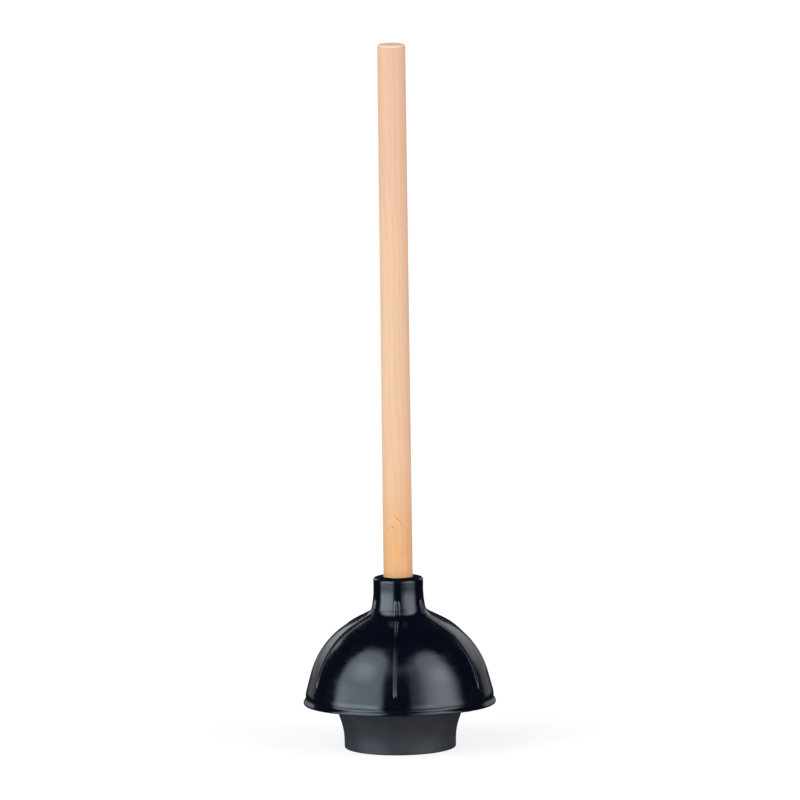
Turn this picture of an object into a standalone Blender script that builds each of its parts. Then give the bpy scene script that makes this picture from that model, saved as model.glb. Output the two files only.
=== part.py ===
"""Toilet plunger: a turned wooden handle screwed into a black rubber cup with a fold-out flange.

Metres, +Z up. The cup's axis is Z, the origin is the centre of the sleeve's bottom face, and the
front of the cup faces -Y. Outlines are (radius, height) pairs in the XZ plane, turned about Z.
The rubber cup is one moulding, divided here into the regions that move against each other.
"""

import math

import bmesh
import bpy
from mathutils import Matrix, Vector

GAP = 0.0003  # left between neighbouring regions and pieces

# Bell, outside
CUP_RADIUS = 0.0762  # a 6 in cup, across the lip
LIP_BOTTOM_Z = 0.0353
LIP_TOP_Z = 0.0366
LIP_EDGE_ROUND = 0.0005
LIP_FLARE_ROUND = 0.0030
HEM_RADIUS = 0.07445  # where the upright hem would meet the flare of the lip
HEM_Z = 0.0399
SKIRT_RADIUS = 0.07457  # where the leaning skirt would meet the upright hem
SKIRT_Z = 0.0434
SKIRT_LEAN = math.radians(15.2)  # off vertical
SKIRT_ROUND = 0.0140
SHOULDER_ROUND = 0.0660
CROWN_RADIUS = 0.0240  # where the crown line has height CROWN_Z
CROWN_Z = 0.1073
CROWN_FALL = math.radians(26.8)  # below horizontal
BELL_WALL = 0.0040
RIM_TOP_Z = 0.0500  # the stiff ring of the rim ends here and the flexible dome starts
RIM_INNER_RADIUS = 0.0712

# Neck and its socket
NECK_TOP_Z = 0.1357
NECK_WAIST = 0.0197
NECK_LEAN = math.radians(12.5)  # of the lower flank, off vertical
NECK_LEAN_Z = 0.1193  # where the upright and leaning flanks would meet
NECK_FLANK_ROUND = 0.0780
NECK_ROOT_ROUND = 0.0050  # where the neck runs into the crown
NECK_TOP_ROUND = 0.0018
BOSS_RADIUS = 0.0190  # closes the socket inside the bell
BOSS_BOTTOM_Z = 0.0980
BOSS_EDGE_ROUND = 0.0030
BOSS_ROOT_ROUND = 0.0030
SOCKET_FLOOR_Z = 0.1035
SOCKET_STEP_Z = 0.1290  # the plain mouth of the socket ends and the threaded stretch starts

# Ribs on the bell
RIB_COUNT = 6
FIRST_RIB_TURN = math.radians(-3)  # from the front, towards +X
RIB_HALF_WIDTH = 0.0016
RIB_SUNK = 0.0002  # centre of the rib's round section below the surface
RIB_END_SUNK = 0.0014
RIB_END_RUN = 0.0080  # length over which an end sinks into the surface
RIB_BOTTOM_Z = 0.0505
RIB_NECK_TOP_Z = 0.1190

# Fold web and sleeve
WEB_WALL = 0.0020
WEB_RIM_RADIUS = 0.0689
WEB_RIM_Z = 0.0462
WEB_RISE = math.radians(12)  # of the outer stretch, above horizontal
WEB_ROUND = 0.0080
SLEEVE_TOP_Z = 0.0365
SLEEVE_TOP_RADIUS = 0.0518
SLEEVE_FOOT_RADIUS = 0.0441
SLEEVE_KNEE_Z = 0.0142  # where the upright and flared stretches of the sleeve would meet
SLEEVE_KNEE_RADIUS = 0.0443
SLEEVE_KNEE_ROUND = 0.0500
SLEEVE_WALL = 0.0030
SLEEVE_EDGE_ROUND = 0.0008

# Handle
HANDLE_LENGTH = 0.4572  # 18 in
HANDLE_BOTTOM_Z = 0.1050
HANDLE_TOP_RADIUS = 0.0111  # a 7/8 in dowel
HANDLE_NECK_RADIUS = 0.01155
HANDLE_TOP_ROUND = 0.0018
HANDLE_TIP_CHAMFER = 0.0012

# Coarse round thread between the handle and the socket
THREAD_PITCH = 0.00508
THREAD_CORE = 0.0096
THREAD_CENTRE = 0.0098  # radius of the helix that the ridge's round section follows
THREAD_HALF_WIDTH = 0.0014
THREAD_START_Z = 0.1078
THREAD_STEPS_PER_TURN = 16
THREAD_STEPS = 60
THREAD_FADE_STEPS = 4
THREAD_END_WIDTH = 0.45  # of the full width
GROOVE_OVERRUN_STEPS = 5  # the groove runs past both ends of the ridge

# Looks
GLOSS_COLOUR = (0.012, 0.013, 0.018)
GLOSS_ROUGHNESS = 0.25
MATTE_COLOUR = (0.045, 0.045, 0.050)
MATTE_ROUGHNESS = 0.60
WOOD_COLOUR = (0.75, 0.49, 0.32)
WOOD_ROUGHNESS = 0.50

# Fineness of the meshes
TURNED_STEPS = 40
BAR_BEVEL_STEPS = 2
MERGE_DISTANCE = 0.000002
ARC_STEP = math.radians(18)
LONG_ARC_STEP = 0.0090  # longest chord on a wide arc


def clear_scene():
    for old in list(bpy.data.objects):
        bpy.data.objects.remove(old, do_unlink=True)


def new_collection(name):
    collection = bpy.data.collections.new(name)
    bpy.context.scene.collection.children.link(collection)
    return collection


def material(name, colour, roughness):
    made = bpy.data.materials.new(name)
    made.use_nodes = True
    shader = made.node_tree.nodes["Principled BSDF"]
    shader.inputs["Base Color"].default_value = (*colour, 1.0)
    shader.inputs["Roughness"].default_value = roughness
    shader.inputs["Metallic"].default_value = 0.0
    made.diffuse_color = (*colour, 1.0)
    return made


def rounded(corners):
    """An outline through corners (radius, height, rounding): each rounded corner becomes an arc."""
    points = []
    last = len(corners) - 1
    for index, (radius, height, rounding) in enumerate(corners):
        here = Vector((radius, height))
        if rounding == 0 or index in (0, last):
            points.append(here)
            continue
        before = (Vector(corners[index - 1][:2]) - here).normalized()
        after = (Vector(corners[index + 1][:2]) - here).normalized()
        half = before.angle(after) / 2
        centre = here + (before + after).normalized() * rounding / math.sin(half)
        start = here + before * rounding / math.tan(half) - centre
        sweep = start.angle_signed(here + after * rounding / math.tan(half) - centre)
        steps = max(2, math.ceil(abs(sweep) / ARC_STEP), math.ceil(abs(sweep) * rounding / LONG_ARC_STEP))
        for step in range(steps + 1):
            points.append(centre + Matrix.Rotation(-sweep * step / steps, 2) @ start)
    return points


def meeting(first, first_way, second, second_way):
    """Where the line through first along first_way crosses the line through second."""
    across = Vector((second_way.y, -second_way.x))
    return first + first_way * ((second - first).dot(across) / first_way.dot(across))


def cut_heights(points, low, high):
    """The stretch of a falling outline between two heights, with its end points worked out."""
    kept = []
    for before, after in zip(points, points[1:]):
        for height in (high, low):
            if before.y > height > after.y:
                kept.append(before.lerp(after, (before.y - height) / (before.y - after.y)))
        if low <= after.y <= high:
            kept.append(after)
    return kept


def bell_outline():
    """The outside of the neck and the bell, from the neck's waist down to the lip's edge."""
    skirt_way = Vector((-math.sin(SKIRT_LEAN), math.cos(SKIRT_LEAN)))
    crown_way = Vector((math.cos(CROWN_FALL), -math.sin(CROWN_FALL)))
    neck_way = Vector((math.sin(NECK_LEAN), -math.cos(NECK_LEAN)))
    skirt = Vector((SKIRT_RADIUS, SKIRT_Z))
    crown = Vector((CROWN_RADIUS, CROWN_Z))
    shoulder = meeting(skirt, skirt_way, crown, crown_way)
    root = meeting(Vector((NECK_WAIST, NECK_LEAN_Z)), neck_way, crown, crown_way)
    return rounded([
        (NECK_WAIST, NECK_TOP_Z, 0),
        (NECK_WAIST, NECK_LEAN_Z, NECK_FLANK_ROUND),
        (root.x, root.y, NECK_ROOT_ROUND),
        (shoulder.x, shoulder.y, SHOULDER_ROUND),
        (SKIRT_RADIUS, SKIRT_Z, SKIRT_ROUND),
        (HEM_RADIUS, HEM_Z, LIP_FLARE_ROUND),
        (CUP_RADIUS, LIP_TOP_Z, 0),
    ])


def turned(name, points, closed, look):
    """A piece of the plunger: an outline turned about Z by a Screw modifier."""
    mesh = bpy.data.meshes.new(name)
    edges = [(index, index + 1) for index in range(len(points) - 1)]
    if closed:
        edges.append((len(points) - 1, 0))
    mesh.from_pydata([(point.x, 0, point.y) for point in points], edges, [])
    made = bpy.data.objects.new(name, mesh)
    PARTS.objects.link(made)
    screw = made.modifiers.new("turned", "SCREW")
    screw.axis = "Z"
    screw.angle = 2 * math.pi
    screw.steps = TURNED_STEPS
    screw.render_steps = TURNED_STEPS
    screw.use_merge_vertices = True
    screw.merge_threshold = MERGE_DISTANCE
    screw.use_smooth_shade = True
    made.data.materials.append(look)
    return made


def thicken(made, wall, offset):
    """Gives a turned open surface its wall: offset -1 is all inwards, 0 is half to each side."""
    shell = made.modifiers.new("wall", "SOLIDIFY")
    shell.thickness = wall
    shell.offset = offset
    shell.use_even_offset = True


def boolean(made, operation, other):
    step = made.modifiers.new(operation.lower(), "BOOLEAN")
    step.operation = operation
    step.solver = "EXACT"
    step.object = other


def round_bar(name, path, widths, half_width):
    """A closed mesh bar of round section along a path, width factors given at its points."""
    curve = bpy.data.curves.new(name, "CURVE")
    curve.dimensions = "3D"
    curve.bevel_depth = half_width
    curve.bevel_resolution = BAR_BEVEL_STEPS
    curve.use_fill_caps = True
    spline = curve.splines.new("POLY")
    spline.points.add(len(path) - 1)
    for point, place, width in zip(spline.points, path, widths):
        point.co = (*place, 1)
        point.radius = width
    drawn = bpy.data.objects.new(name, curve)
    CUTTERS.objects.link(drawn)
    bpy.context.view_layer.update()
    evaluated = drawn.evaluated_get(bpy.context.evaluated_depsgraph_get())
    mesh = bpy.data.meshes.new_from_object(evaluated)
    place = drawn.matrix_world.copy()
    bpy.data.objects.remove(drawn, do_unlink=True)
    body = bmesh.new()
    body.from_mesh(mesh)
    bmesh.ops.remove_doubles(body, verts=body.verts, dist=MERGE_DISTANCE)
    body.to_mesh(mesh)
    body.free()
    bar = bpy.data.objects.new(name, mesh)
    CUTTERS.objects.link(bar)
    bar.matrix_world = place
    bar.hide_render = True
    bar.display_type = "WIRE"
    return bar


def ribs(name, outline, high, low, fading_end):
    """The stretch of all the ribs between two heights: round bars sunk along the bell's outside.

    At the fading end, top or bottom, the bar sinks away into the surface.
    """
    stretch = cut_heights(outline, low, high)
    total = sum((after - before).length for before, after in zip(stretch, stretch[1:]))
    path = []
    run = 0.0
    for index, point in enumerate(stretch):
        before = stretch[max(index - 1, 0)]
        after = stretch[min(index + 1, len(stretch) - 1)]
        along = (after - before).normalized()
        outward = Vector((-along.y, along.x))
        run += (point - before).length
        to_end = {"top": run, "bottom": total - run}[fading_end]
        rise = min(to_end / RIB_END_RUN, 1.0)
        centre = point - outward * (RIB_END_SUNK + (RIB_SUNK - RIB_END_SUNK) * rise)
        path.append((centre.x, 0, centre.y))
    bars = round_bar(name, path, [1.0] * len(path), RIB_HALF_WIDTH)
    body = bmesh.new()
    body.from_mesh(bars.data)
    first_turn = FIRST_RIB_TURN - math.pi / 2
    bmesh.ops.rotate(body, verts=body.verts, matrix=Matrix.Rotation(first_turn, 3, "Z"))
    one_bar = body.verts[:] + body.edges[:] + body.faces[:]
    for copy in range(1, RIB_COUNT):
        made = bmesh.ops.duplicate(body, geom=one_bar)["geom"]
        copied = [item for item in made if isinstance(item, bmesh.types.BMVert)]
        turn = Matrix.Rotation(copy * 2 * math.pi / RIB_COUNT, 3, "Z")
        bmesh.ops.rotate(body, verts=copied, matrix=turn)
    body.to_mesh(bars.data)
    body.free()
    return bars


def thread(name, half_width, overrun):
    """The ridge of the thread, or its groove when wider and overrunning both ends."""
    path = []
    widths = []
    for step in range(-overrun, THREAD_STEPS + overrun + 1):
        turn = step / THREAD_STEPS_PER_TURN
        angle = 2 * math.pi * turn
        height = THREAD_START_Z + THREAD_PITCH * turn
        path.append((THREAD_CENTRE * math.cos(angle), THREAD_CENTRE * math.sin(angle), height))
        from_end = min(step + overrun, THREAD_STEPS + overrun - step, THREAD_FADE_STEPS)
        widths.append(THREAD_END_WIDTH + (1 - THREAD_END_WIDTH) * from_end / THREAD_FADE_STEPS)
    return round_bar(name, path, widths, half_width)


def outline_split(outline):
    """The point of the bell's outside where the neck ends and the flexible dome starts."""
    return next(point for point in outline if point.x >= CROWN_RADIUS)


def make_neck(outline, look):
    """The neck with its blind socket, the boss under it and the start of the crown."""
    split = outline_split(outline)
    outer = [point for point in outline if point.y > split.y]
    down = (split - outer[-1]).normalized()
    inward = Vector((down.y, -down.x))
    under = split + inward * BELL_WALL
    mouth = HANDLE_NECK_RADIUS + GAP
    top = rounded([
        (THREAD_CORE + GAP, SOCKET_FLOOR_Z, 0),
        (THREAD_CORE + GAP, SOCKET_STEP_Z, 0),
        (mouth, SOCKET_STEP_Z, 0),
        (mouth, NECK_TOP_Z, 0),
        (NECK_WAIST, NECK_TOP_Z, NECK_TOP_ROUND),
        (NECK_WAIST, NECK_LEAN_Z, 0),
    ])
    boss_root = under - down * (under.x - BOSS_RADIUS) / down.x
    below = rounded([
        (under.x, under.y, 0),
        (BOSS_RADIUS, boss_root.y, BOSS_ROOT_ROUND),
        (BOSS_RADIUS, BOSS_BOTTOM_Z, BOSS_EDGE_ROUND),
        (0, BOSS_BOTTOM_Z, 0),
    ])
    floor = [Vector((0, SOCKET_FLOOR_Z))]
    neck = turned("neck_socket", floor + top[:-1] + outer[1:] + [split] + below, False, look)
    boolean(neck, "DIFFERENCE", thread("socket_groove", THREAD_HALF_WIDTH + GAP, GROOVE_OVERRUN_STEPS))
    boolean(neck, "UNION", ribs("neck_ribs", outline, RIB_NECK_TOP_Z, split.y, "top"))
    return neck


def make_dome(outline, look):
    """The dome's wall, from the neck to the stiff ring of the rim, with the ribs moulded on it."""
    split = outline_split(outline)
    start = outline[outline.index(split) + 1]
    along = (start - split).normalized()
    first = split + along * GAP
    points = [first] + cut_heights(outline, RIM_TOP_Z, start.y)
    dome = turned("bell_dome", points, False, look)
    thicken(dome, BELL_WALL, -1)
    boolean(dome, "UNION", ribs("dome_ribs", outline, first.y, RIB_BOTTOM_Z, "bottom"))
    return dome


def make_rim(outline, look):
    """The ring at the bottom of the bell, with its thin turned-out lip."""
    along = Vector((math.sin(SKIRT_LEAN), -math.cos(SKIRT_LEAN)))
    top_outer = cut_heights(outline, RIM_TOP_Z, NECK_TOP_Z)[-1] + along * GAP
    top_inner = top_outer + Vector((along.y, -along.x)) * BELL_WALL
    outside = cut_heights(outline, LIP_TOP_Z, top_outer.y)
    corners = [(point.x, point.y, 0) for point in [top_outer] + outside[:-1]]
    corners += [
        (CUP_RADIUS, LIP_TOP_Z, LIP_EDGE_ROUND),
        (CUP_RADIUS, LIP_BOTTOM_Z, LIP_EDGE_ROUND),
        (RIM_INNER_RADIUS, LIP_BOTTOM_Z, LIP_EDGE_ROUND),
        (top_inner.x, top_inner.y, 0),
    ]
    return turned("rim_lip", rounded(corners), True, look)


def sleeve_flank():
    """The outside of the sleeve, from its flared top down to its foot."""
    return rounded([
        (SLEEVE_TOP_RADIUS, SLEEVE_TOP_Z, 0),
        (SLEEVE_KNEE_RADIUS, SLEEVE_KNEE_Z, SLEEVE_KNEE_ROUND),
        (SLEEVE_FOOT_RADIUS, 0, 0),
    ])


def make_sleeve(look):
    """The sleeve, a flared tube with softened edges at its flat foot."""
    flank = sleeve_flank()
    inside = []
    for index, point in enumerate(flank[:-1]):
        before = flank[max(index - 1, 0)]
        along = (flank[index + 1] - before).normalized()
        inside.append(point + Vector((along.y, -along.x)) * SLEEVE_WALL)
    corners = [(point.x, point.y, 0) for point in flank[:-1]]
    corners += [
        (SLEEVE_FOOT_RADIUS, 0, SLEEVE_EDGE_ROUND),
        (SLEEVE_FOOT_RADIUS - SLEEVE_WALL, 0, SLEEVE_EDGE_ROUND),
    ]
    corners += [(point.x, point.y, 0) for point in reversed(inside)]
    return turned("flange_sleeve", rounded(corners), True, look)


def make_web(look):
    """The thin web that spreads like a trumpet from the top of the sleeve to the rim's inner face."""
    flank = sleeve_flank()
    down = (flank[1] - flank[0]).normalized()
    start = flank[0] + Vector((down.y, -down.x)) * SLEEVE_WALL / 2 - down * GAP
    end = Vector((WEB_RIM_RADIUS, WEB_RIM_Z))
    bend = meeting(start, down, end, Vector((math.cos(WEB_RISE), math.sin(WEB_RISE))))
    web = turned("flange_web", rounded([(*end, 0), (*bend, WEB_ROUND), (*start, 0)]), False, look)
    thicken(web, WEB_WALL, 0)
    return web


def make_handle(look):
    """The dowel, slightly thicker towards the cup, with the coarse thread on its lower end."""
    shoulder_z = SOCKET_STEP_Z + GAP
    top_z = HANDLE_BOTTOM_Z + HANDLE_LENGTH
    handle = turned("wooden_handle", rounded([
        (0, top_z, 0),
        (HANDLE_TOP_RADIUS, top_z, HANDLE_TOP_ROUND),
        (HANDLE_NECK_RADIUS, shoulder_z, 0),
        (THREAD_CORE, shoulder_z, 0),
        (THREAD_CORE, HANDLE_BOTTOM_Z + HANDLE_TIP_CHAMFER, 0),
        (THREAD_CORE - HANDLE_TIP_CHAMFER, HANDLE_BOTTOM_Z, 0),
        (0, HANDLE_BOTTOM_Z, 0),
    ]), False, look)
    boolean(handle, "UNION", thread("thread_ridge", THREAD_HALF_WIDTH, 0))
    return handle


def main():
    outline = bell_outline()
    gloss = material("black_rubber_gloss", GLOSS_COLOUR, GLOSS_ROUGHNESS)
    matte = material("black_rubber_matte", MATTE_COLOUR, MATTE_ROUGHNESS)
    wood = material("pale_wood", WOOD_COLOUR, WOOD_ROUGHNESS)
    make_handle(wood)
    make_neck(outline, gloss)
    make_dome(outline, gloss)
    make_rim(outline, gloss)
    make_web(matte)
    make_sleeve(matte)


clear_scene()
PARTS = new_collection("toilet_plunger")
CUTTERS = new_collection("cutters")
main()
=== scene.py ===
"""Toilet plunger, as it looks: pale wooden handle, glossy black rubber bell, matte fold-out sleeve.

Metres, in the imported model's frame: +Z up along the cup's axis, the front of the cup towards -Y.
Outlines are (radius, height) pairs, turned about Z.
"""

import math

import bpy
import numpy as np
from mathutils import Matrix, Vector


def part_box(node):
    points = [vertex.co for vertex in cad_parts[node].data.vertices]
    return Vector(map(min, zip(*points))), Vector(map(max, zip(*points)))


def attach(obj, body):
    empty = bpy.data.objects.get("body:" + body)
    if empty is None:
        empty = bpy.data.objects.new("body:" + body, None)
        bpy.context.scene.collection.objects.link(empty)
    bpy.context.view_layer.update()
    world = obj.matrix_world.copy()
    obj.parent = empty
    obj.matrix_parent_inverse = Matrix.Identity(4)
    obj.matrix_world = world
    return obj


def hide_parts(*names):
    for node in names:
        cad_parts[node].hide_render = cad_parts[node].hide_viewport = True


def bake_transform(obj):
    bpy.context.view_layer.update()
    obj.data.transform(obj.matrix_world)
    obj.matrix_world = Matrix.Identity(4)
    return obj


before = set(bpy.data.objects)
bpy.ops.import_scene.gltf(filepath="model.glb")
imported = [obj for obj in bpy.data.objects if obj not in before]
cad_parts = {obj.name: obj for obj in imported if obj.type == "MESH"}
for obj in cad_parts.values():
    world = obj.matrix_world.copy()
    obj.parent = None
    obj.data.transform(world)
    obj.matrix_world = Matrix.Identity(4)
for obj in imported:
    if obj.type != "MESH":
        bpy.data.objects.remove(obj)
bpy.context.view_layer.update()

FOOT_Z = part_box("flange_sleeve")[0].z
LIP_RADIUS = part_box("rim_lip")[1].x
HANDLE_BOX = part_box("wooden_handle")
NECK_TOP_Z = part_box("neck_socket")[1].z

# Bell, outside
LIP_BOTTOM_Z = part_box("rim_lip")[0].z
LIP_TOP_Z = 0.0366
LIP_EDGE_ROUND = 0.0005
LIP_FLARE_ROUND = 0.0030
HEM_RADIUS = 0.07445
HEM_Z = 0.0399
SKIRT_RADIUS = 0.07457
SKIRT_Z = 0.0434
SKIRT_LEAN = math.radians(15.2)  # inwards, off vertical
SKIRT_ROUND = 0.0140
SHOULDER_ROUND = 0.0660
CROWN_RADIUS = 0.0240  # of a point on the crown's straight slope
CROWN_Z = 0.1073
CROWN_FALL = math.radians(26.8)  # off level
BELL_WALL = 0.0040
LIP_LIFT = 0.0014  # how far the lip rises at the front and the back
LIP_LIFT_Z = 0.0412  # where the rise starts
LIP_LIFT_FROM_RADIUS = 0.0380
LIP_UNDERSIDE = 0.0046
LIP_INNER_ROUND = 0.0010
INSIDE_END_Z = LIP_TOP_Z + 0.004

# Neck, socket and the boss inside
NECK_WAIST = 0.0197
NECK_LEAN = math.radians(12.5)  # of the lower flank, off vertical
NECK_LEAN_Z = 0.1193  # where the upright and leaning flanks would meet
NECK_FLANK_ROUND = 0.0780
NECK_ROOT_ROUND = 0.0085
NECK_TOP_ROUND = 0.0019
COLLAR_RISE = 0.0015  # of the neck's mouth, from its edge to the handle
NECK_BEAD = 0.00012
NECK_BEAD_DROP = 0.0080
NECK_BEAD_ROUND = 0.02
MOUTH_ROUND = 0.0009
COLLAR_TOP_Z = NECK_TOP_Z + COLLAR_RISE
SOCKET_FLOOR_ROUND = 0.0008
SOCKET_FLOOR_Z = 0.1035
SOCKET_STEP_Z = 0.1290
BOSS_RADIUS = 0.0190
BOSS_BOTTOM_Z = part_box("neck_socket")[0].z
BOSS_EDGE_ROUND = 0.0035
BOSS_ROOT_ROUND = 0.0040

# Ribs
RIB_COUNT = 6
FIRST_RIB_TURN = math.radians(-3)  # from the front, towards +X
RIB_SPREAD = math.radians(3.6)  # turns the ribs at the sides outwards
RIB_HEIGHT = 0.0012
RIB_HALF_WIDTH = 0.0013
RIB_NECK_HALF_WIDTH = 0.0018
RIB_FLAT_SHARE = 0.20
RIB_TOP_Z = 0.1200
RIB_BOTTOM_Z = 0.0490
RIB_TOP_RUN = 0.0030
RIB_BOTTOM_RUN = 0.0100
RIB_WIDEN_Z = 0.100
RIB_WIDEN_RUN = 0.008

# Web and sleeve
WEB_WALL = 0.0020
WEB_RIM_Z = 0.0462
WEB_RIM_RADIUS = 0.0700
WEB_RIM_SUNK = 0.0012
WEB_RISE = math.radians(12)
WEB_ROUND = 0.0080
WEB_ROOT_ROUND = 0.0020
WEB_ROOT_STRETCH = 1.6
SLEEVE_TOP_Z = 0.0365
SLEEVE_TOP_RADIUS = 0.0518
SLEEVE_FOOT_RADIUS = 0.0441
SLEEVE_KNEE_Z = 0.0142
SLEEVE_KNEE_RADIUS = 0.0443
SLEEVE_KNEE_ROUND = 0.0500
SLEEVE_WALL = 0.0030
SLEEVE_EDGE_ROUND = 0.0010

# Handle and its thread
HANDLE_TOP_RADIUS = 0.0111
HANDLE_NECK_RADIUS = 0.01155
HANDLE_TOP_ROUND = 0.0020
HANDLE_TIP_CHAMFER = 0.0012
GAP = 0.0003  # between the handle and the socket
THREAD_PITCH = 0.00508
THREAD_CORE = 0.0096
THREAD_CENTRE = 0.0098
THREAD_HALF_WIDTH = 0.0014
THREAD_START_Z = 0.1078
THREAD_TURNS = 3.75
THREAD_FADE_TURNS = 0.25
THREAD_END_SHARE = 0.45  # of the half width, left at the very end
GROOVE_OVERRUN = 0.31  # turns past each end of the thread

# Meshes: the spacing of their rings, and their columns
OUTSIDE_STEP = 0.0014
INSIDE_STEP = 0.0012
WEB_STEP = 0.0010
THREAD_STEP = 0.0004
HANDLE_TOP_STEP = 0.0008
SHAFT_STEP = 0.004
POLE_RADIUS = 0.0012  # of the ring next to the middle of a flat end
SLEEVE_COLUMNS = 240
HANDLE_COLUMNS = 144
PANEL_COLUMNS = 20
RIB_COLUMN_SHARES = (0, 0.12, 0.24, 0.34, 0.44, 0.54, 0.64, 0.74, 0.84, 0.94, 1.04, 1.2, 1.5)
SHARP_ANGLE = math.radians(40)
TINY = 1e-6

# Camera and light
VIEW_ELEVATION = math.radians(8.9)
VIEW_ROLL = math.radians(0.75)
VIEW_TARGET = (0.0033, 0.0, 0.2778)
VIEW_WIDTH = 0.6328
VIEW_DISTANCE = 24.0
SENSOR_WIDTH_MM = 36.0
CLIP_START = 0.1
CLIP_END = 100
AMBIENT = (0.02, 0.022, 0.026)
FLOOR_HALF = 40.0
FLOOR_DROP = 0.0002
FLOOR_TONE = 0.26
FLOOR_GLOW = 0.80
WHITE = (1.0, 1.0, 1.0)


# ---------------------------------------------------------------- outlines

def rounded(corners, arc_step=math.radians(5), chord=0.0012):
    """An outline through corners (radius, height, rounding): each rounded corner becomes an arc."""
    points = []
    last = len(corners) - 1
    for index, (radius, height, rounding) in enumerate(corners):
        here = Vector((radius, height))
        if rounding == 0 or index in (0, last):
            points.append(here)
            continue
        before = (Vector(corners[index - 1][:2]) - here).normalized()
        after = (Vector(corners[index + 1][:2]) - here).normalized()
        half = before.angle(after) / 2
        centre = here + (before + after).normalized() * rounding / math.sin(half)
        start = here + before * rounding / math.tan(half) - centre
        sweep = start.angle_signed(here + after * rounding / math.tan(half) - centre)
        steps = max(3, math.ceil(abs(sweep) / arc_step), math.ceil(abs(sweep) * rounding / chord))
        for step in range(steps + 1):
            points.append(centre + Matrix.Rotation(-sweep * step / steps, 2) @ start)
    return points


def meeting(first, first_way, second, second_way):
    """Where the line through first along first_way crosses the line through second."""
    across = Vector((second_way.y, -second_way.x))
    return first + first_way * ((second - first).dot(across) / first_way.dot(across))


def filled_in(points, spacing):
    """The outline with its long straight stretches divided to about the spacing."""
    made = [points[0]]
    for before, after in zip(points, points[1:]):
        pieces = max(1, math.ceil((after - before).length / spacing))
        made += [before.lerp(after, piece / pieces) for piece in range(1, pieces + 1)]
    return made


def offset(points, distance):
    """The outline moved to its right-hand side, which is into the wall of a falling outline."""
    moved = []
    for index, point in enumerate(points):
        before = points[max(index - 1, 0)]
        along = (points[min(index + 1, len(points) - 1)] - before).normalized()
        moved.append(point + Vector((along.y, -along.x)) * distance)
    return moved


def smooth(value):
    """0 below 0, 1 above 1, and an S-shaped rise between them."""
    value = np.clip(value, 0, 1)
    return value * value * (3 - 2 * value)


def helix_section(turn_angle, height, centre, half_width, start, turns, surface):
    """How far a round thread section stands out of a surface at each angle and height."""
    phase = turn_angle / (2 * math.pi)
    turn = (height - start) / THREAD_PITCH
    lap = np.round(turn - phase)
    place = np.clip(lap + phase, 0, turns)
    away = (turn - place) * THREAD_PITCH
    fade = np.clip(np.minimum(place, turns - place) / THREAD_FADE_TURNS, 0, 1)
    radius = half_width * (THREAD_END_SHARE + (1 - THREAD_END_SHARE) * fade)
    reach = centre + np.sqrt(np.clip(radius ** 2 - away ** 2, 0, None)) - surface
    return np.where(np.abs(away) < radius, np.clip(reach, 0, None), 0)


# ---------------------------------------------------------------- meshes

def grid_object(name, rings, closed):
    """A turned mesh from rings of points, each an array (columns, 3). A ring of one point is a pole.

    A closed outline joins its last ring to its first.
    """
    points = []
    starts = []
    for loop in rings:
        starts.append(len(points))
        points += [tuple(point) for point in loop]
    faces = []
    pairs = list(zip(range(len(rings)), range(1, len(rings))))
    if closed:
        pairs.append((len(rings) - 1, 0))
    for upper, lower in pairs:
        a, b = starts[upper], starts[lower]
        count = max(len(rings[upper]), len(rings[lower]))
        for column in range(count):
            after = (column + 1) % count
            if len(rings[upper]) == 1:
                faces.append((a, b + column, b + after))
            elif len(rings[lower]) == 1:
                faces.append((a + column, b, a + after))
            else:
                faces.append((a + column, b + column, b + after, a + after))
    mesh = bpy.data.meshes.new(name)
    mesh.from_pydata(points, [], faces)
    mesh.update()
    mesh.shade_smooth()
    mesh.set_sharp_from_angle(angle=SHARP_ANGLE)
    made = bpy.data.objects.new(name, mesh)
    bpy.context.scene.collection.objects.link(made)
    return made


def plain_angles(count):
    """Evenly spaced angles round the axis."""
    return np.arange(count) * 2 * math.pi / count


def ribbed_angles(radius):
    """Columns of the mesh at a radius, close together across the ribs and even between them.

    Returns each column's angle and its distance across from the middle of the nearest rib.
    """
    sector = 2 * math.pi / RIB_COUNT
    columns = np.array(RIB_COLUMN_SHARES) * RIB_HALF_WIDTH
    reach = min(columns[-1] / radius, 0.4 * sector)
    near = columns / columns[-1] * reach
    between = np.linspace(reach, sector - reach, PANEL_COLUMNS + 1)[1:-1]
    one = np.concatenate([near, between, sector - near[:0:-1]])
    across = np.tile(np.minimum(one, sector - one) * radius, RIB_COUNT)
    turned = FIRST_RIB_TURN + np.concatenate([sector * index + one for index in range(RIB_COUNT)])
    turned += RIB_SPREAD * np.sin(2 * (turned - FIRST_RIB_TURN))
    return turned - math.pi / 2, across


def ring(angles, radii, heights):
    """Points round the axis. Radii and heights are numbers, or one for each angle."""
    radii = np.broadcast_to(radii, angles.shape)
    heights = np.broadcast_to(heights, angles.shape)
    return np.stack([radii * np.cos(angles), radii * np.sin(angles), heights], 1)


# ---------------------------------------------------------------- the bell

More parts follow.
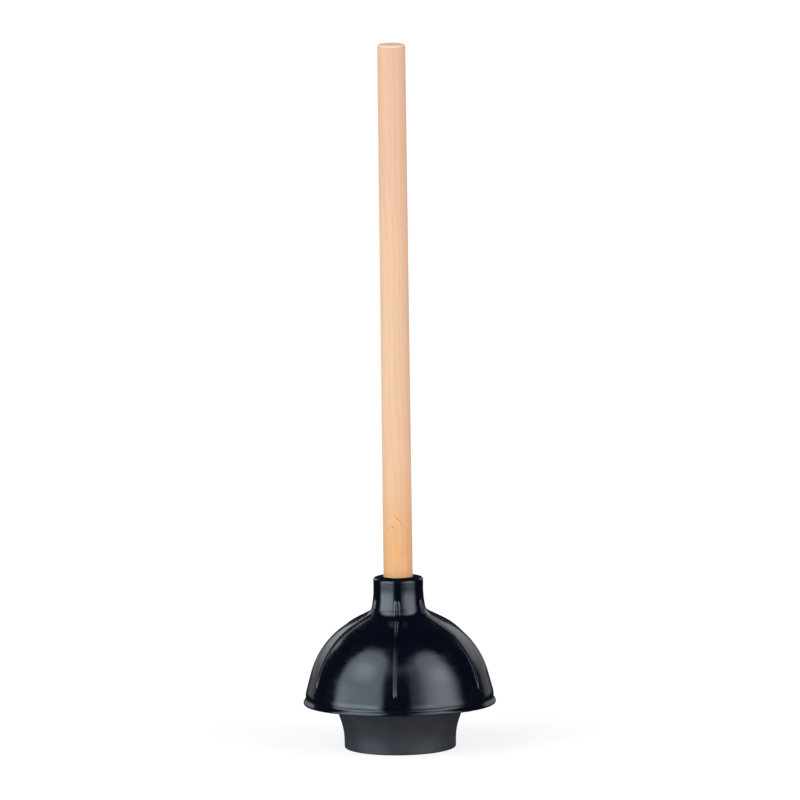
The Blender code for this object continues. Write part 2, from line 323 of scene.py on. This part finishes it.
def bell_outside():
    """The outside of the neck and the bell, from the neck's top edge down to the lip."""
    skirt_way = Vector((-math.sin(SKIRT_LEAN), math.cos(SKIRT_LEAN)))
    crown_way = Vector((math.cos(CROWN_FALL), -math.sin(CROWN_FALL)))
    neck_way = Vector((math.sin(NECK_LEAN), -math.cos(NECK_LEAN)))
    skirt = Vector((SKIRT_RADIUS, SKIRT_Z))
    crown = Vector((CROWN_RADIUS, CROWN_Z))
    shoulder = meeting(skirt, skirt_way, crown, crown_way)
    root = meeting(Vector((NECK_WAIST, NECK_LEAN_Z)), neck_way, crown, crown_way)
    return rounded([
        (HANDLE_NECK_RADIUS + GAP, COLLAR_TOP_Z, 0),
        (NECK_WAIST + NECK_BEAD, NECK_TOP_Z, NECK_TOP_ROUND),
        (NECK_WAIST, NECK_TOP_Z - NECK_BEAD_DROP, NECK_BEAD_ROUND),
        (NECK_WAIST, NECK_LEAN_Z, NECK_FLANK_ROUND),
        (root.x, root.y, NECK_ROOT_ROUND),
        (shoulder.x, shoulder.y, SHOULDER_ROUND),
        (SKIRT_RADIUS, SKIRT_Z, SKIRT_ROUND),
        (HEM_RADIUS, HEM_Z, LIP_FLARE_ROUND),
        (LIP_RADIUS, LIP_TOP_Z, LIP_EDGE_ROUND),
        (LIP_RADIUS, LIP_BOTTOM_Z, 0),
    ])[1:-1]


def bell_outline():
    """The whole outline of the bell, from the socket's floor over the outside to the boss's underside.

    Returns it with the place in it where the outside starts and the place where it ends.
    """
    outside = filled_in(bell_outside(), OUTSIDE_STEP)
    wall_from = next(index for index, point in enumerate(outside) if point.x >= CROWN_RADIUS)
    wall_to = next(index for index, point in enumerate(outside) if point.y <= INSIDE_END_Z)
    inside = offset(outside, BELL_WALL)[wall_from:wall_to]
    crown_way = (inside[0] - inside[1]).normalized()
    boss_root = inside[0] + crown_way * (inside[0].x - BOSS_RADIUS) / -crown_way.x
    lip = rounded([
        (outside[-1].x, outside[-1].y, 0),
        (LIP_RADIUS, LIP_BOTTOM_Z, LIP_EDGE_ROUND),
        (LIP_RADIUS - LIP_UNDERSIDE, LIP_BOTTOM_Z, LIP_INNER_ROUND),
        (inside[-1].x, inside[-1].y, 0),
    ])
    boss = rounded([
        (inside[0].x, inside[0].y, 0),
        (BOSS_RADIUS, boss_root.y, BOSS_ROOT_ROUND),
        (BOSS_RADIUS, BOSS_BOTTOM_Z, BOSS_EDGE_ROUND),
        (POLE_RADIUS, BOSS_BOTTOM_Z, 0),
    ])
    socket = filled_in(rounded([
        (POLE_RADIUS, SOCKET_FLOOR_Z, 0),
        (THREAD_CORE + GAP, SOCKET_FLOOR_Z, SOCKET_FLOOR_ROUND),
        (THREAD_CORE + GAP, SOCKET_STEP_Z, 0),
        (HANDLE_NECK_RADIUS + GAP, SOCKET_STEP_Z, 0),
        (HANDLE_NECK_RADIUS + GAP, COLLAR_TOP_Z, MOUTH_ROUND),
        (NECK_WAIST + NECK_BEAD, NECK_TOP_Z, 0),
    ])[:-1], THREAD_STEP)
    outline = socket + outside
    outline += filled_in(lip, INSIDE_STEP)[1:-1] + inside[::-1] + filled_in(boss, INSIDE_STEP)[1:]
    return outline, len(socket), len(socket) + len(outside)


def rib_bump(across, height):
    """How far the ribs stand out at each distance across from their middle, at a height."""
    share = smooth((RIB_TOP_Z - height) / RIB_TOP_RUN)
    share *= smooth((height - RIB_BOTTOM_Z) / RIB_BOTTOM_RUN)
    on_neck = float(smooth((height - RIB_WIDEN_Z) / RIB_WIDEN_RUN))
    half = RIB_HALF_WIDTH + (RIB_NECK_HALF_WIDTH - RIB_HALF_WIDTH) * on_neck
    bump = smooth((1 - across / half) / (1 - RIB_FLAT_SHARE))
    return RIB_HEIGHT * share * bump


def make_bell():
    """The neck, the dome with its ribs, the lip and the boss inside, as one skin."""
    outline, outside_from, outside_to = bell_outline()
    rings = [np.array([[0, 0, SOCKET_FLOOR_Z]])]
    for index, point in enumerate(outline):
        angles, across = ribbed_angles(point.x)
        radii = np.full(angles.shape, point.x)
        heights = np.full(angles.shape, point.y)
        if index < outside_from and abs(point.x - THREAD_CORE - GAP) < TINY:
            radii += helix_section(
                angles, point.y, THREAD_CENTRE, THREAD_HALF_WIDTH + GAP,
                THREAD_START_Z - GROOVE_OVERRUN * THREAD_PITCH, THREAD_TURNS + 2 * GROOVE_OVERRUN,
                point.x,
            )
        if outside_from <= index < outside_to and RIB_BOTTOM_Z <= point.y <= RIB_TOP_Z:
            along = (outline[index + 1] - outline[index - 1]).normalized()
            bump = rib_bump(across, point.y)
            radii += -along.y * bump
            heights += along.x * bump
        if point.x > LIP_LIFT_FROM_RADIUS:
            lifted = smooth((LIP_LIFT_Z - point.y) / (LIP_LIFT_Z - LIP_TOP_Z))
            heights += LIP_LIFT * np.sin(angles) ** 2 * lifted
        rings.append(ring(angles, radii, heights))
    rings.append(np.array([[0, 0, BOSS_BOTTOM_Z]]))
    return grid_object("rubber_bell", rings, False)


# ---------------------------------------------------------------- the sleeve and web

def make_flange():
    """The tapered sleeve and the web that it hangs from, as one closed outline."""
    flank = rounded([
        (SLEEVE_TOP_RADIUS, SLEEVE_TOP_Z, 0),
        (SLEEVE_KNEE_RADIUS, SLEEVE_KNEE_Z, SLEEVE_KNEE_ROUND),
        (SLEEVE_FOOT_RADIUS, FOOT_Z, 0),
    ])
    down = (flank[1] - flank[0]).normalized()
    into = Vector((down.y, -down.x))
    middle = flank[0] + into * SLEEVE_WALL / 2
    rim = Vector((WEB_RIM_RADIUS, WEB_RIM_Z))
    web_way = Vector((math.cos(WEB_RISE), math.sin(WEB_RISE)))
    bend = meeting(middle, down, rim, web_way)
    web = rounded([(*(rim + web_way * WEB_RIM_SUNK), 0), (*bend, WEB_ROUND), (*middle, 0)])
    web = filled_in(web, WEB_STEP)
    total = sum((after - before).length for before, after in zip(web, web[1:]))
    lower, upper = [], []
    run = 0.0
    for index, point in enumerate(web):
        before = web[max(index - 1, 0)]
        along = (web[min(index + 1, len(web) - 1)] - before).normalized()
        run += (point - before).length
        half = WEB_WALL / 2 + (SLEEVE_WALL - WEB_WALL) / 2 * float(smooth(run / total))
        root = max(0.0, 1 - run / WEB_ROOT_ROUND / WEB_ROOT_STRETCH)
        half += WEB_ROOT_ROUND * (1 - math.sqrt(1 - root * root))
        normal = Vector((along.y, -along.x))
        lower.append(point - normal * half)
        upper.append(point + normal * half)
    inner = []
    for index, point in enumerate(flank[1:-1], 1):
        along = (flank[index + 1] - flank[index - 1]).normalized()
        inner.append(point + Vector((along.y, -along.x)) * SLEEVE_WALL)
    corners = [(point.x, point.y, 0) for point in flank[1:-1]]
    corners += [
        (SLEEVE_FOOT_RADIUS, FOOT_Z, SLEEVE_EDGE_ROUND),
        (SLEEVE_FOOT_RADIUS - SLEEVE_WALL, FOOT_Z, SLEEVE_EDGE_ROUND),
    ]
    corners += [(point.x, point.y, 0) for point in reversed(inner)]
    outline = lower[:-1] + filled_in(rounded(corners), INSIDE_STEP) + upper[-2::-1]
    angles = plain_angles(SLEEVE_COLUMNS)
    rings = [ring(angles, point.x, point.y) for point in outline]
    return grid_object("fold_flange", rings, True)


# ---------------------------------------------------------------- the handle

def make_handle():
    """The dowel, slightly thicker at the neck, with the thread on its lower end."""
    top = HANDLE_BOX[1].z
    bottom = HANDLE_BOX[0].z
    shoulder = SOCKET_STEP_Z + GAP
    outline = rounded([
        (POLE_RADIUS, top, 0),
        (HANDLE_TOP_RADIUS, top, HANDLE_TOP_ROUND),
        (HANDLE_NECK_RADIUS, shoulder, 0),
        (THREAD_CORE, shoulder, 0),
        (THREAD_CORE, bottom + HANDLE_TIP_CHAMFER, 0),
        (THREAD_CORE - HANDLE_TIP_CHAMFER, bottom, 0),
        (POLE_RADIUS, bottom, 0),
    ])
    shaft_from = next(index for index, point in enumerate(outline) if point.y < top - HANDLE_TOP_ROUND)
    upper = filled_in(outline[:shaft_from], HANDLE_TOP_STEP)
    shaft = filled_in(outline[shaft_from - 1:shaft_from + 1], SHAFT_STEP)
    lower = filled_in(outline[shaft_from:], THREAD_STEP)
    outline = upper + shaft[1:] + lower[1:]
    angles = plain_angles(HANDLE_COLUMNS)
    rings = [np.array([[0, 0, top]])]
    for point in outline:
        radii = np.full(angles.shape, point.x)
        if point.y < shoulder and abs(point.x - THREAD_CORE) < TINY:
            radii += helix_section(
                angles, point.y, THREAD_CENTRE, THREAD_HALF_WIDTH, THREAD_START_Z, THREAD_TURNS,
                point.x,
            )
        rings.append(ring(angles, radii, point.y))
    rings.append(np.array([[0, 0, bottom]]))
    return grid_object("turned_handle", rings, False)


# ---------------------------------------------------------------- nodes

def math_node(tree, operation, *values):
    """A Math node of the operation, each value a number or a socket. Returns its output."""
    made = tree.nodes.new("ShaderNodeMath")
    made.operation = operation
    for socket, value in zip(made.inputs, values):
        if isinstance(value, (int, float)):
            socket.default_value = value
        else:
            tree.links.new(value, socket)
    return made.outputs[0]


def plus(tree, first, second):
    """The sum of two values."""
    return math_node(tree, "ADD", first, second)


def minus(tree, first, second):
    """The first value less the second."""
    return math_node(tree, "SUBTRACT", first, second)


def times(tree, first, *others):
    """The product of all the values."""
    for other in others:
        first = math_node(tree, "MULTIPLY", first, other)
    return first


def object_place(tree):
    """The place of a point on the object, in metres."""
    return tree.nodes.new("ShaderNodeTexCoord").outputs["Object"]


def coordinates(tree, place):
    """The three parts of a place, and its angle round Z from the front, towards +X."""
    parts = tree.nodes.new("ShaderNodeSeparateXYZ")
    tree.links.new(place, parts.inputs["Vector"])
    x, y, z = parts.outputs
    return x, y, z, math_node(tree, "ARCTAN2", x, times(tree, y, -1.0))


def noise(tree, place, scale, detail=3.0, roughness=0.5, offset=0.0):
    """Noise from 0 to 1 about 0.5. The scale is one number or one per axis, in cells per metre."""
    mapping = tree.nodes.new("ShaderNodeMapping")
    mapping.inputs["Scale"].default_value = scale if isinstance(scale, tuple) else (scale,) * 3
    mapping.inputs["Location"].default_value = (offset, offset * 0.7, offset * 1.3)
    tree.links.new(place, mapping.inputs["Vector"])
    texture = tree.nodes.new("ShaderNodeTexNoise")
    texture.inputs["Scale"].default_value = 1.0
    texture.inputs["Detail"].default_value = detail
    texture.inputs["Roughness"].default_value = roughness
    tree.links.new(mapping.outputs["Vector"], texture.inputs["Vector"])
    return texture.outputs["Fac"]


def remap(tree, value, low, high, to_low=0.0, to_high=1.0, soft=True):
    """The value taken from one range to another, and kept inside it."""
    made = tree.nodes.new("ShaderNodeMapRange")
    made.interpolation_type = "SMOOTHSTEP" if soft else "LINEAR"
    for name, setting in zip(("From Min", "From Max", "To Min", "To Max"), (low, high, to_low, to_high)):
        made.inputs[name].default_value = setting
    tree.links.new(value, made.inputs["Value"])
    return made.outputs["Result"]


def edge(tree, value, place, soft):
    """Rises from 0 to 1 across a place, or falls where soft is negative."""
    return remap(tree, value, place - soft, place + soft)


def blended(tree, share, first, second):
    """Two colours mixed by a share. Each is a colour or a socket."""
    made = tree.nodes.new("ShaderNodeMix")
    made.data_type = "RGBA"
    for name, value in (("A", first), ("B", second)):
        socket = next(s for s in made.inputs if s.name == name and s.type == "RGBA")
        if isinstance(value, tuple):
            socket.default_value = (*value, 1)
        else:
            tree.links.new(value, socket)
    tree.links.new(share, made.inputs["Factor"])
    return next(s for s in made.outputs if s.type == "RGBA")


def bumped(tree, shader, layers):
    """Bump from layers of (height socket, distance in metres, strength)."""
    normal = None
    for height, distance, strength in layers:
        made = tree.nodes.new("ShaderNodeBump")
        made.inputs["Distance"].default_value = distance
        made.inputs["Strength"].default_value = strength
        tree.links.new(height, made.inputs["Height"])
        if normal:
            tree.links.new(normal, made.inputs["Normal"])
        normal = made.outputs["Normal"]
    tree.links.new(normal, shader.inputs["Normal"])


def new_material(name):
    """A new material, its node tree and its shader."""
    made = bpy.data.materials.new(name)
    made.use_nodes = True
    return made, made.node_tree, made.node_tree.nodes["Principled BSDF"]


# ---------------------------------------------------------------- rubber

# Each rubber: its darker and its lighter colour, its roughness and how far that varies, its specular
# level, and the depth of its fine tooth
POLISHED_RUBBER = ((0.0010, 0.0016, 0.0048), (0.0016, 0.0022, 0.0056), 0.14, 0.06, 0.50, 0.000006)
DULL_RUBBER = ((0.0070, 0.0072, 0.0090), (0.0120, 0.0120, 0.0140), 0.42, 0.06, 0.40, 0.000020)
SLEEVE_RUBBER = ((0.0170, 0.0180, 0.0230), (0.0240, 0.0250, 0.0280), 0.52, 0.06, 0.45, 0.000030)
RUBBER_TINT = (0.90, 0.96, 1.0)
BLOOM_CELLS = 55.0
MOULD_MARK_CELLS = (30.0, 30.0, 480.0)
DULL_PATCH_CELLS = 120.0
WAVE_CELLS = (30.0, 30.0, 45.0)
TOOTH_CELLS = 2200.0
WAVE_DEPTH = 0.0006
MOULD_MARK_DEPTH = 0.00007


def rubber(name, dark, light, roughness, spread, specular, tooth):
    """Moulded rubber: turning marks of the mould, a fine tooth, dull patches and a slow waviness."""
    made, tree, shader = new_material(name)
    place = object_place(tree)
    bloom = noise(tree, place, BLOOM_CELLS, 5.0, 0.6)
    tone = blended(tree, remap(tree, bloom, 0.35, 0.75), dark, light)
    tree.links.new(tone, shader.inputs["Base Color"])
    marks = noise(tree, place, MOULD_MARK_CELLS, 5.0, 0.65)
    patches = noise(tree, place, DULL_PATCH_CELLS, 5.0, 0.65, offset=3.0)
    dull = plus(tree, marks, times(tree, patches, 0.6))
    dulled = remap(tree, dull, 0.60, 1.0, roughness - spread, roughness + spread, False)
    tree.links.new(dulled, shader.inputs["Roughness"])
    shader.inputs["Specular IOR Level"].default_value = specular
    shader.inputs["Specular Tint"].default_value = (*RUBBER_TINT, 1)
    waves = noise(tree, place, WAVE_CELLS, 2.0)
    grain = noise(tree, place, TOOTH_CELLS, 3.0)
    bumped(tree, shader, [(waves, WAVE_DEPTH, 0.4), (marks, MOULD_MARK_DEPTH, 0.8), (grain, tooth, 0.6)])
    return made


# ---------------------------------------------------------------- wood

WOOD_TOP = (0.605, 0.372, 0.238)
WOOD_MIDDLE = (0.618, 0.392, 0.242)
WOOD_FOOT = (0.600, 0.325, 0.143)
WOOD_END = (0.900, 0.640, 0.430)
WOOD_ORANGE = (0.560, 0.270, 0.115)
WOOD_BROWN = (0.360, 0.150, 0.060)
WOOD_AMBER = (0.700, 0.360, 0.110)
TONE_DRIFT = 0.06
END_GRAIN_DEPTH = (0.0016, 0.0004)

# The pith of the growth rings, beside and behind the dowel's axis, and how the rings run
PITH_SIDE = 0.031
PITH_BEHIND = 0.024
PITH_LEAN = 0.016
RING_WAVER = 0.009
RING_SPACING = 0.0042

# The knot, round the front of the handle, and the arch of the grain over it
HANDLE_MEAN_RADIUS = 0.01145
KNOT_Z = 0.1876
KNOT_SIDE = -0.0041
KNOT_TURN = 0.0022
ARCH_SLOPE = 1.55
ARCH_WOBBLE = 0.0036

# Each mark: how far it is to the right of the knot, how far above it, its half width and its half height
ARCH_AREA = (0.0024, -0.0080, 0.0085, 0.0135)
KNOT_EYE = (0.0003, -0.0099, 0.0009, 0.0009)
KNOT_STROKE = (-0.0042, -0.0092, 0.0030, 0.0007)
STROKE_SLANT = 0.6
WOOD_SPECK = (0.0125, -0.0125, 0.0008, 0.0010)

# Each amber streak: its mark as above, and its strength
WOOD_STREAKS = [
    ((0.0127, 0.0255, 0.0021, 0.0115), 0.80),
    ((0.0118, 0.0120, 0.0016, 0.0100), 0.35),
    ((0.0175, 0.1115, 0.0024, 0.0080), 0.60),
    ((0.0060, -0.0200, 0.0021, 0.0100), 0.70),
    ((0.0098, -0.0390, 0.0036, 0.0090), 0.60),
    ((0.0020, -0.0330, 0.0040, 0.0110), 0.40),
]


def spot(tree, across, below, side, height, half_width, half_height):
    """A soft oval mark on the handle: 1 at its middle and 0 outside it."""
    parts = []
    for value, middle, half in ((across, side, half_width), (below, height, half_height)):
        away = math_node(tree, "DIVIDE", minus(tree, value, middle), half)
        parts.append(times(tree, away, away))
    return remap(tree, math_node(tree, "SQRT", plus(tree, *parts)), 1.0, 0.3)


def with_tone_and_rings(tree, place, x, y, z):
    """The wood's tone, which drifts along the handle, and its growth rings cut lengthwise."""
    drift = noise(tree, place, (25.0, 25.0, 6.0), 2.0)
    height = plus(tree, z, times(tree, drift, TONE_DRIFT))
    colour = blended(tree, remap(tree, height, 0.18, 0.26), WOOD_FOOT, WOOD_MIDDLE)
    colour = blended(tree, remap(tree, height, 0.42, 0.52), colour, WOOD_TOP)
    waver = noise(tree, place, (30.0, 30.0, 9.0), 3.0, offset=9.0)
    side = plus(tree, plus(tree, x, PITH_SIDE), times(tree, z, PITH_LEAN))
    side = plus(tree, side, times(tree, waver, RING_WAVER))
    depth = plus(tree, y, PITH_BEHIND)
    away = math_node(tree, "SQRT", plus(tree, times(tree, side, side), times(tree, depth, depth)))
    rings = math_node(tree, "SINE", times(tree, away, 2 * math.pi / RING_SPACING))
    return blended(tree, remap(tree, rings, -0.2, 1.0, 0.0, 0.16), colour, WOOD_ORANGE)


def with_knot(tree, place, colour, across, below):
    """The grain arching over a small knot, with a dark edge on its right, and the marks beside it."""
    wobble = noise(tree, place, (220.0, 220.0, 120.0), 3.0, 0.6, offset=6.0)
    bend = math_node(tree, "SQRT", plus(tree, times(tree, across, across), KNOT_TURN * KNOT_TURN))
    arch = plus(tree, below, times(tree, bend, ARCH_SLOPE))
    arch = plus(tree, arch, times(tree, wobble, ARCH_WOBBLE))
    arch = minus(tree, arch, ARCH_SLOPE * KNOT_TURN + ARCH_WOBBLE / 2)
    near = spot(tree, across, below, *ARCH_AREA)
    band = times(tree, remap(tree, arch, 0.0002, -0.0005), remap(tree, arch, -0.0052, -0.0020))
    colour = blended(tree, times(tree, band, near, 0.75), colour, WOOD_AMBER)
    line = times(tree, remap(tree, arch, 0.0007, 0.0002), remap(tree, arch, -0.0006, -0.0001))
    line = times(tree, line, remap(tree, across, 0.0005, 0.0040, 0.15, 1.0))
    colour = blended(tree, times(tree, line, near, 0.95), colour, WOOD_BROWN)
    eye = spot(tree, across, below, *KNOT_EYE)
    slanted = minus(tree, below, times(tree, across, STROKE_SLANT))
    stroke = spot(tree, across, slanted, *KNOT_STROKE)
    marks = math_node(tree, "MAXIMUM", eye, times(tree, stroke, 0.45))
    colour = blended(tree, marks, colour, WOOD_BROWN)
    speck = spot(tree, across, below, *WOOD_SPECK)
    return blended(tree, times(tree, speck, 0.5), colour, WOOD_BROWN)


def wood(name):
    """Pale sanded wood: growth rings cut lengthwise, fibres, darker streaks, and a small knot low down."""
    made, tree, shader = new_material(name)
    place = object_place(tree)
    x, y, z, angle = coordinates(tree, place)
    colour = with_tone_and_rings(tree, place, x, y, z)

    # streaks and fibres along the grain, stronger below the knot
    below_knot = remap(tree, z, KNOT_Z - 0.004, KNOT_Z - 0.018, 0.0, 0.45)
    streaks = noise(tree, place, (260.0, 260.0, 14.0), 4.0, 0.6, offset=4.0)
    streak_share = times(tree, remap(tree, streaks, 0.48, 0.72), plus(tree, below_knot, 0.22))
    colour = blended(tree, streak_share, colour, WOOD_ORANGE)
    fibres = noise(tree, place, (1300.0, 1300.0, 45.0), 4.0, 0.65)
    colour = blended(tree, remap(tree, fibres, 0.50, 0.80, 0.0, 0.28), colour, WOOD_ORANGE)
    pores = noise(tree, place, (2400.0, 2400.0, 220.0), 2.0, 0.5, offset=2.0)
    colour = blended(tree, remap(tree, pores, 0.68, 0.80, 0.0, 0.25), colour, WOOD_BROWN)

    across = minus(tree, times(tree, angle, HANDLE_MEAN_RADIUS), KNOT_SIDE)
    below = minus(tree, z, KNOT_Z)
    colour = with_knot(tree, place, colour, across, below)
    ragged = remap(tree, streaks, 0.30, 0.60, 0.35, 1.0)
    for mark, share in WOOD_STREAKS:
        streak = spot(tree, across, below, *mark)
        colour = blended(tree, times(tree, streak, ragged, share), colour, WOOD_AMBER)

    # paler end grain
    end_from, end_to = [HANDLE_BOX[1].z - depth for depth in END_GRAIN_DEPTH]
    colour = blended(tree, remap(tree, z, end_from, end_to, 0.0, 0.8), colour, WOOD_END)
    tree.links.new(colour, shader.inputs["Base Color"])

    wear = noise(tree, place, (90.0, 90.0, 12.0), 4.0)
    tree.links.new(remap(tree, wear, 0.3, 0.7, 0.50, 0.66, False), shader.inputs["Roughness"])
    shader.inputs["Specular IOR Level"].default_value = 0.35
    bumped(tree, shader, [(streaks, 0.00010, 0.35), (fibres, 0.00006, 0.45), (pores, 0.00004, 0.35)])
    return made


# ---------------------------------------------------------------- studio

def make_floor():
    """A pale floor, clear when it is seen from underneath."""
    mesh = bpy.data.meshes.new("floor")
    corners = [(-1, -1), (1, -1), (1, 1), (-1, 1)]
    level = FOOT_Z - FLOOR_DROP
    mesh.from_pydata([(x * FLOOR_HALF, y * FLOOR_HALF, level) for x, y in corners], [], [(0, 1, 2, 3)])
    floor = bpy.data.objects.new("floor", mesh)
    bpy.context.scene.collection.objects.link(floor)
    made, tree, shader = new_material("floor_paper")
    shader.inputs["Base Color"].default_value = (FLOOR_TONE, FLOOR_TONE, FLOOR_TONE, 1)
    shader.inputs["Emission Color"].default_value = (*WHITE, 1)
    shader.inputs["Emission Strength"].default_value = FLOOR_GLOW
    shader.inputs["Roughness"].default_value = 1.0
    shader.inputs["Specular IOR Level"].default_value = 0.0
    geometry = tree.nodes.new("ShaderNodeNewGeometry")
    clear = tree.nodes.new("ShaderNodeBsdfTransparent")
    both = tree.nodes.new("ShaderNodeMixShader")
    tree.links.new(geometry.outputs["Backfacing"], both.inputs["Fac"])
    tree.links.new(shader.outputs["BSDF"], both.inputs[1])
    tree.links.new(clear.outputs["BSDF"], both.inputs[2])
    tree.links.new(both.outputs["Shader"], tree.nodes["Material Output"].inputs["Surface"])
    mesh.materials.append(made)
    floor.visible_glossy = False


def make_camera():
    """A long lens, a little above level, with the whole plunger in view."""
    data = bpy.data.cameras.new("camera")
    data.sensor_width = SENSOR_WIDTH_MM
    data.lens = SENSOR_WIDTH_MM * VIEW_DISTANCE / VIEW_WIDTH
    data.clip_start = CLIP_START
    data.clip_end = CLIP_END
    camera = bpy.data.objects.new("camera", data)
    bpy.context.scene.collection.objects.link(camera)
    back = Vector((0, -math.cos(VIEW_ELEVATION), math.sin(VIEW_ELEVATION)))
    camera.location = Vector(VIEW_TARGET) + back * VIEW_DISTANCE
    facing = (-back).to_track_quat("-Z", "Y")
    camera.rotation_mode = "QUATERNION"
    camera.rotation_quaternion = facing @ Matrix.Rotation(-VIEW_ROLL, 3, "Z").to_quaternion()
    bpy.context.scene.camera = camera


# Each light of the studio: its colour times its radiance, then the azimuth and elevation that it
# spans and how soft each edge is, in degrees, and how strongly its top edge falls away from its middle.
# Azimuth 0 is the front, and +90 is +X.
STUDIO_LIGHTS = [
    ((2.5, 2.75, 3.0), (-88, -23, 6, 2.5), (-12, 66, 2, 6), 0.45),
    ((2.0, 2.15, 2.3), (-72, -40, 12, 12), (26, 48, 10, 9), 0),
    ((2.1, 2.3, 2.4), (-84, -28, 8, 4), (-6, 13, 3, 4), 0),
    ((1.95, 1.95, 2.15), (30, 77, 11, 12), (-10, 61, 8, 7), 0.60),
    ((2.2, 2.2, 2.4), (44, 74, 14, 12), (16, 40, 10, 12), 0),
    ((1.1, 1.1, 1.2), (18, 78, 6, 10), (-6, 13, 3, 4), 0),
    ((0.60, 0.60, 0.68), (14, 82, 3, 8), (-12, 64, 2, 6), 0.35),
    ((0.55, 0.56, 0.62), (-24, 26, 3, 6), (38, 50, 8, 6), 0),
    ((0.35, 0.35, 0.36), (-166, -133, 3, 3), (-3, 30, 2, 4), 0),
    ((0.35, 0.35, 0.36), (131, 166, 3, 3), (-3, 30, 2, 4), 0),
    ((1.10, 1.12, 1.15), (-166, -133, 3, 3), (12, 30, 10, 4), 0),
    ((0.60, 0.60, 0.62), (131, 166, 3, 3), (12, 30, 10, 4), 0),
]


def light_share(tree, azimuth, elevation, across, up, top_curve):
    """1 inside a light and 0 outside it, with soft edges."""
    left, right, left_soft, right_soft = [math.radians(value) for value in across]
    bottom, top, bottom_soft, top_soft = [math.radians(value) for value in up]
    wide = times(tree, edge(tree, azimuth, left, left_soft), edge(tree, azimuth, right, -right_soft))
    away = minus(tree, azimuth, (left + right) / 2)
    curved = plus(tree, elevation, times(tree, away, away, top_curve))
    tall = times(tree, edge(tree, elevation, bottom, bottom_soft), edge(tree, curved, top, -top_soft))
    return times(tree, wide, tall)


def make_world():
    """The studio's lights. The camera itself sees plain white behind the object."""
    world = bpy.data.worlds.new("studio")
    bpy.context.scene.world = world
    world.use_nodes = True
    tree = world.node_tree
    way = tree.nodes.new("ShaderNodeTexCoord").outputs["Generated"]
    z, azimuth = coordinates(tree, way)[2:]
    elevation = math_node(tree, "ARCSINE", z)
    total = None
    for colour, across, up, top_curve in STUDIO_LIGHTS:
        scaled = tree.nodes.new("ShaderNodeVectorMath")
        scaled.operation = "SCALE"
        scaled.inputs[0].default_value = colour
        share = light_share(tree, azimuth, elevation, across, up, top_curve)
        tree.links.new(share, scaled.inputs["Scale"])
        added = tree.nodes.new("ShaderNodeVectorMath")
        added.operation = "ADD"
        added.inputs[0].default_value = AMBIENT
        if total:
            tree.links.new(total, added.inputs[0])
        tree.links.new(scaled.outputs["Vector"], added.inputs[1])
        total = added.outputs["Vector"]
    rays = tree.nodes.new("ShaderNodeLightPath")
    seen = blended(tree, rays.outputs["Is Camera Ray"], total, WHITE)
    tree.links.new(seen, tree.nodes["Background"].inputs["Color"])


# ---------------------------------------------------------------- the plunger

UNDERSIDE_NORMAL_Z = -0.3
SOCKET_DULL_MARGIN = 0.001
SOCKET_DULL_DROP = 0.004


def dull_inside(bell):
    """Gives the second material to the faces inside the cup, on its underside and in the socket."""
    for face in bell.data.polygons:
        middle = face.center
        reach = math.hypot(middle.x, middle.y)
        inward = face.normal.x * middle.x + face.normal.y * middle.y < 0
        under = face.normal.z < UNDERSIDE_NORMAL_Z
        in_socket = reach < BOSS_RADIUS - SOCKET_DULL_MARGIN and middle.z < NECK_TOP_Z - SOCKET_DULL_DROP
        if inward or under or in_socket:
            face.material_index = 1


def main():
    make_camera()
    make_floor()
    make_world()

    bell = make_bell()
    bell.data.materials.append(rubber("polished_rubber", *POLISHED_RUBBER))
    bell.data.materials.append(rubber("dull_rubber_inside", *DULL_RUBBER))
    dull_inside(bell)
    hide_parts("neck_socket", "bell_dome", "rim_lip")
    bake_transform(bell)

    flange = make_flange()
    flange.data.materials.append(rubber("matte_rubber_sleeve", *SLEEVE_RUBBER))
    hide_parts("flange_web", "flange_sleeve")
    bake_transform(flange)

    handle = make_handle()
    handle.data.materials.append(wood("pale_wood"))
    handle.visible_glossy = False
    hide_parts("wooden_handle")
    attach(handle, "handle")

    bpy.context.scene.view_settings.view_transform = "Standard"


main()
